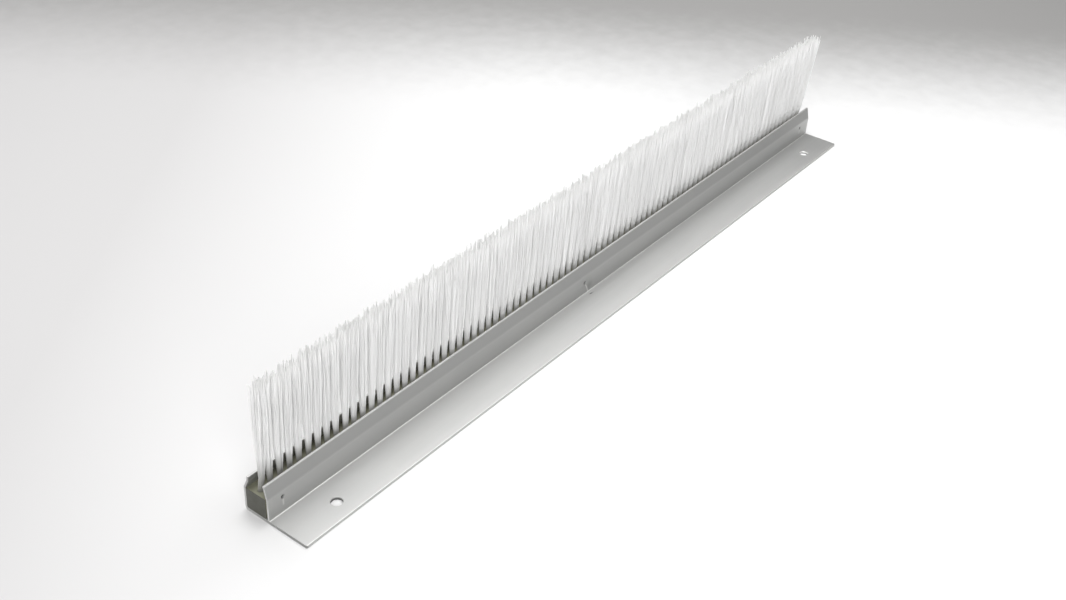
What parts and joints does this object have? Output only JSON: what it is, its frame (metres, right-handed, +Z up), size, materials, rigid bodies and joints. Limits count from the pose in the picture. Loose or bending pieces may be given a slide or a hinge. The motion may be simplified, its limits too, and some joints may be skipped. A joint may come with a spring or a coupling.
{
  "type": "brush seal strip",
  "caption": "Straight brush seal strip: an aluminium holder with a flat fixing flange grips a plastic bar set with one row of upright white nylon tufts.",
  "frame": {"origin": "middle of the strip's footprint, on the underside that it is fixed by", "axes": "+X along the strip, +Y from the flange's free edge towards the back wall of the channel, +Z up towards the tips of the tufts"},
  "size_m": [0.4572, 0.0346, 0.0643],
  "materials": {
    "aluminium": "satin mill finish with fine drawing lines along the strip",
    "pvc": "matt, sawn at the ends",
    "nylon": "translucent white filament",
    "steel": "drawn flat wire"
  },
  "bodies": {
    "root": {"holder": "aluminium", "backing_bar": "pvc", "anchor_wires": "steel", "tuft_pair_01": "nylon", "tuft_pair_02": "nylon", "tuft_pair_03": "nylon", "tuft_pair_04": "nylon", "tuft_pair_05": "nylon", "tuft_pair_06": "nylon", "tuft_pair_07": "nylon", "tuft_pair_08": "nylon", "tuft_pair_09": "nylon", "tuft_pair_10": "nylon", "tuft_pair_11": "nylon", "tuft_pair_12": "nylon", "tuft_pair_13": "nylon", "tuft_pair_14": "nylon", "tuft_pair_15": "nylon", "tuft_pair_16": "nylon", "tuft_pair_17": "nylon", "tuft_pair_18": "nylon", "tuft_pair_19": "nylon", "tuft_pair_20": "nylon", "tuft_pair_21": "nylon", "tuft_pair_22": "nylon", "tuft_pair_23": "nylon", "tuft_pair_24": "nylon", "tuft_pair_25": "nylon", "tuft_pair_26": "nylon", "tuft_pair_27": "nylon", "tuft_pair_28": "nylon", "tuft_pair_29": "nylon", "tuft_pair_30": "nylon", "tuft_pair_31": "nylon", "tuft_pair_32": "nylon", "tuft_pair_33": "nylon", "tuft_pair_34": "nylon", "tuft_pair_35": "nylon", "tuft_pair_36": "nylon", "tuft_pair_37": "nylon", "tuft_pair_38": "nylon", "tuft_pair_39": "nylon", "tuft_pair_40": "nylon", "tuft_pair_41": "nylon", "tuft_pair_42": "nylon", "tuft_pair_43": "nylon"}
  },
  "joints": []
}
